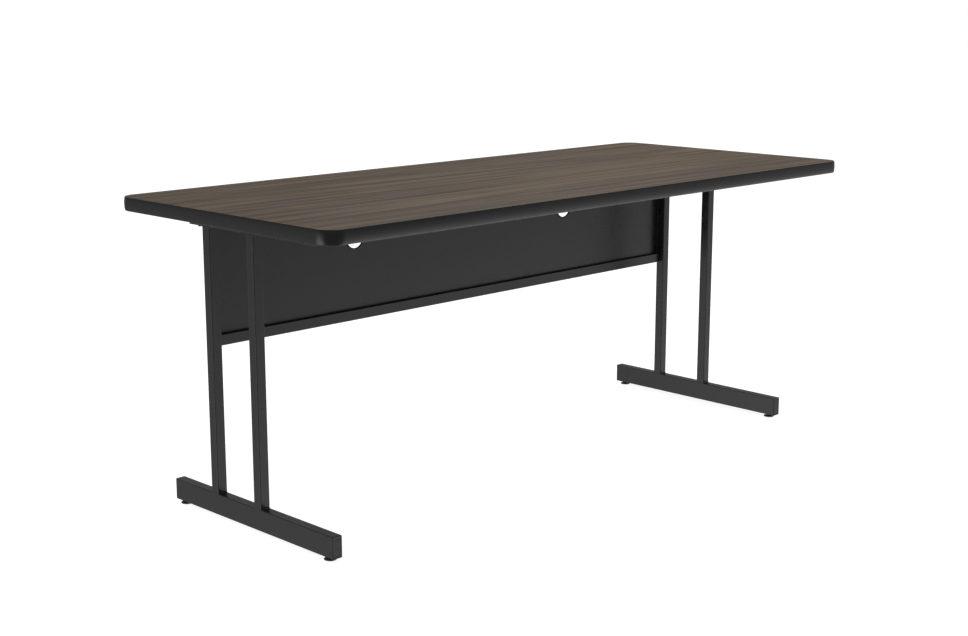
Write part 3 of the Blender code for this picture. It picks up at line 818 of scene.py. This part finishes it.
def screw_mesh(name, length):
    """Washer face at Z 0, the indented hexagon head on the -Z side and the threaded shank on the +Z side."""
    count = THREAD_STEPS * 2
    washer = -GAP / 2 - WASHER_THICKNESS
    head = washer - HEX_HEIGHT
    loops = [
        ring(SCREW_HEX * 0.20, head + 0.0007, count),
        ring(SCREW_HEX * 0.30, head + 0.0006, count),
        ring(SCREW_HEX * 0.36, head, count),
        hexagon(SCREW_HEX, head, 0.84, count),
        hexagon(SCREW_HEX, head + 0.00025, 0.92, count),
        hexagon(SCREW_HEX, head + 0.0006, 0.98, count),
        hexagon(SCREW_HEX, washer - 0.0002, 0.98, count),
        ring(SCREW_HEX * 0.60, washer, count),
        ring(WASHER_RADIUS - 0.0004, washer + 0.0001, count),
        ring(WASHER_RADIUS, washer + 0.0005, count),
        ring(WASHER_RADIUS, -GAP / 2 - 0.0001, count),
        ring(WASHER_RADIUS - 0.0001, -GAP / 2, count),
        ring(SCREW_MAJOR, -GAP / 2, count),
    ]
    loops += threaded(SCREW_CORE, SCREW_MAJOR, SCREW_PITCH, 0.0004, length - 0.004, count, 6)
    loops += [ring(SCREW_CORE * 0.7, length - 0.0018, count), ring(SCREW_CORE * 0.15, length, count)]
    return smooth(loft(name, loops), 38)


def make_screws():
    """One mesh for each kind of screw, with its washer face where the CAD screw has it."""
    meshes = {kind: screw_mesh(kind + "_screw", length) for kind, length in SCREW_LENGTHS.items()}
    head = GAP + WASHER_THICKNESS + HEX_HEIGHT
    for node in sorted(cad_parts):
        if "_screw_" not in node:
            continue
        low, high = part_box(node)
        centre = (low + high) / 2
        if "_panel_screw_" in node:
            sign = -1 if node.startswith("left") else 1
            seat = (high.x - head) if sign < 0 else (low.x + head)
            kind = "panel"
            place = (seat + sign * GAP / 2, centre.y, centre.z)
            turn = (0, sign * math.pi / 2, 0)
        else:
            kind = "support" if "support" in node else "flange"
            place = (centre.x, centre.y, low.z + head)
            turn = (0, 0, dice.uniform(0, math.pi / 3))
        add_piece(node + "_thread", meshes[kind], "black_screw", [node], "frame", place, turn)


# ---- Levelling glides ----

def glide_base_mesh(stem_radius, stem_bottom):
    """Bell foot with a hexagon on top and a pocket for the stem, from the floor up."""
    low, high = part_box("glide_base_front_left")
    top = high.z
    rim = (high.x - low.x) / 2
    rim_top = top * GLIDE_RIM_SHARE
    hex_bottom = top * GLIDE_BELL_SHARE
    neck = GLIDE_HEX / 2
    loops = [ring(rim * 0.55, 0.0002), ring(rim * 0.62, 0.0), ring(rim * 0.90, 0.0)]
    for step in range(1, RIM_STEPS + 1):
        turn = math.pi / 2 * step / RIM_STEPS
        loops.append(ring(rim * 0.90 + rim * 0.10 * math.sin(turn), 0.0010 * (1 - math.cos(turn))))
    loops.append(ring(rim, rim_top - 0.0004))
    loops.append(ring(rim - 0.0004, rim_top))
    for step in range(1, BELL_STEPS + 1):
        share = step / BELL_STEPS
        radius = neck + (rim - 0.0006 - neck) * (1 - math.sin(share * math.pi / 2))
        loops.append(ring(radius, rim_top + (hex_bottom - rim_top) * share))
    loops += [
        hexagon(GLIDE_HEX, hex_bottom + 0.0001, 0.98),
        hexagon(GLIDE_HEX, top - 0.0006, 0.98),
        hexagon(GLIDE_HEX, top - 0.0002, 0.92),
        hexagon(GLIDE_HEX, top, 0.87),
        ring(stem_radius + GAP, top),
        ring(stem_radius + GAP, stem_bottom - GAP),
    ]
    return smooth(loft("glide_base_mesh", loops), 30)


def glide_stem_mesh(radius, low, high):
    core = radius - STEM_DEPTH
    loops = [ring(core * 0.8, low, THREAD_STEPS)]
    loops += threaded(core, radius, STEM_PITCH, low + 0.0005, high - 0.0012)
    loops += [ring(core, high - 0.0010, THREAD_STEPS), ring(core * 0.75, high, THREAD_STEPS)]
    return smooth(loft("glide_stem_mesh", loops), 50)


def glide_insert_mesh(stem_radius):
    """Flanged nut pressed into the foot from below."""
    low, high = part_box("glide_insert_front_left")
    flange = (high.x - low.x) / 2
    bore = stem_radius + GAP / 2
    profile = [
        (bore + 0.0006, low.z),
        (flange - 0.0004, low.z),
        (flange - 0.0001, low.z + 0.0001),
        (flange, low.z + 0.0004),
        (flange, low.z + INSERT_FLANGE),
        (INSERT_SLEEVE, low.z + INSERT_FLANGE),
        (INSERT_SLEEVE, high.z),
        (bore, high.z),
        (bore, low.z + 0.0005),
    ]
    return smooth(loft("glide_insert_mesh", [ring(r, z) for r, z in profile], closed=True), 30)


def make_glides():
    low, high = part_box("glide_stem_front_left")
    stem_radius = (high.x - low.x) / 2
    base = glide_base_mesh(stem_radius, low.z)
    stem = glide_stem_mesh(stem_radius, low.z, high.z)
    insert = glide_insert_mesh(stem_radius)
    for place in GLIDES:
        low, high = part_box("glide_stem_" + place)
        spot = ((low.x + high.x) / 2, (low.y + high.y) / 2, 0)
        body = "glide_" + place
        twist = (0, 0, dice.uniform(0, math.pi / 3))
        base_node = "glide_base_" + place
        flatten(add_piece(base_node + "_nylon", base, "black_nylon", [base_node], body, spot, twist))
        stem_node = "glide_stem_" + place
        add_piece(stem_node + "_threaded", stem, "zinc", [stem_node], body, spot, twist)
        insert_node = "glide_insert_" + place
        add_piece(insert_node + "_turned", insert, "zinc", [insert_node], "frame", spot)


# ---- Studio ----

def make_floor():
    """Pale floor that the camera sees. The world stands in for its light on the desk."""
    mesh = loft("floor", [ring(FLOOR_RADIUS, z, 96) for z in (-FLOOR_THICKNESS, 0.0)])
    floor = bpy.data.objects.new("floor", mesh)
    bpy.context.scene.collection.objects.link(floor)
    floor.visible_diffuse = False
    floor.visible_glossy = False
    material = bpy.data.materials.new("floor")
    material.use_nodes = True
    shader = material.node_tree.nodes["Principled BSDF"]
    shader.inputs["Base Color"].default_value = (0.45, 0.45, 0.45, 1)
    shader.inputs["Roughness"].default_value = 0.9
    shader.inputs["Specular IOR Level"].default_value = 0.0
    shader.inputs["Emission Color"].default_value = (1, 1, 1, 1)
    shader.inputs["Emission Strength"].default_value = FLOOR_GLOW
    mesh.materials.append(material)


def direction(azimuth, elevation):
    """Unit vector. Azimuth 0 is +X and 90 is +Y, in degrees."""
    turn = math.radians(azimuth)
    lift = math.radians(elevation)
    return (math.cos(turn) * math.cos(lift), math.sin(turn) * math.cos(lift), math.sin(lift))


def make_world():
    """White to the camera. As a light it is bright overhead, dim at eye level and bright in soft patches."""
    world = bpy.data.worlds.new("studio")
    world.use_nodes = True
    bpy.context.scene.world = world
    tree = world.node_tree
    background = tree.nodes["Background"]

    def add(kind, inputs, **settings):
        item = tree.nodes.new("ShaderNode" + kind)
        for key, value in settings.items():
            setattr(item, key, value)
        for socket, value in zip(item.inputs, inputs):
            if isinstance(value, bpy.types.NodeSocket):
                tree.links.new(value, socket)
            elif value is not None:
                socket.default_value = value
        return item.outputs

    way = add("TexCoord", [])["Generated"]
    height = add("MapRange", [add("SeparateXYZ", [way])["Z"], -1.0, 1.0])["Result"]
    levels = tree.nodes.new("ShaderNodeValToRGB")
    tree.links.new(height, levels.inputs["Fac"])
    stops = levels.color_ramp.elements
    for number, (lift, level) in enumerate(WORLD_LEVELS):
        stop = stops[number] if number < 2 else stops.new(0.5)
        stop.position = (math.sin(math.radians(lift)) + 1) / 2
        stop.color = (level, level, level, 1)
    light = add("SeparateColor", [levels.outputs["Color"]])["Red"]
    for azimuth, elevation, width, level in WORLD_PATCHES:
        towards = add("VectorMath", [way, direction(azimuth, elevation)], operation="DOT_PRODUCT")["Value"]
        edge = math.cos(math.radians(width))
        patch = add("MapRange", [towards, edge, 1.0, 0.0, level], interpolation_type="SMOOTHSTEP")["Result"]
        light = add("Math", [light, patch], operation="ADD")["Value"]
    seen = add("LightPath", [])["Is Camera Ray"]
    shown = add("Mix", [seen, None, light, 1.0])["Result"]
    tree.links.new(shown, background.inputs["Color"])


def aim_at(item, place, aim):
    """Puts a lamp or a camera at place and turns its -Z axis to aim."""
    item.location = place
    item.rotation_euler = (Vector(aim) - Vector(place)).to_track_quat("-Z", "Y").to_euler()


def make_softbox():
    light = bpy.data.lights.new("overhead", "AREA")
    light.shape = "RECTANGLE"
    light.size, light.size_y = SOFTBOX_SIZE
    light.energy = SOFTBOX_POWER
    lamp = bpy.data.objects.new("overhead", light)
    bpy.context.scene.collection.objects.link(lamp)
    aim_at(lamp, SOFTBOX_PLACE, SOFTBOX_AIM)


def make_camera():
    camera = bpy.data.objects.new("camera", bpy.data.cameras.new("camera"))
    bpy.context.scene.collection.objects.link(camera)
    aim_at(camera, CAMERA_PLACE, CAMERA_AIM)
    camera.data.lens = CAMERA_LENS
    camera.data.sensor_width = CAMERA_SENSOR
    camera.data.clip_end = CAMERA_REACH
    bpy.context.scene.camera = camera


def make_studio():
    bpy.context.scene.view_settings.view_transform = "Standard"
    make_camera()
    make_floor()
    make_world()
    make_softbox()


make_studio()
finishes = make_finishes()
make_boards()
make_molding()
make_legs()
make_panel()
make_grommets()
make_screws()
make_glides()
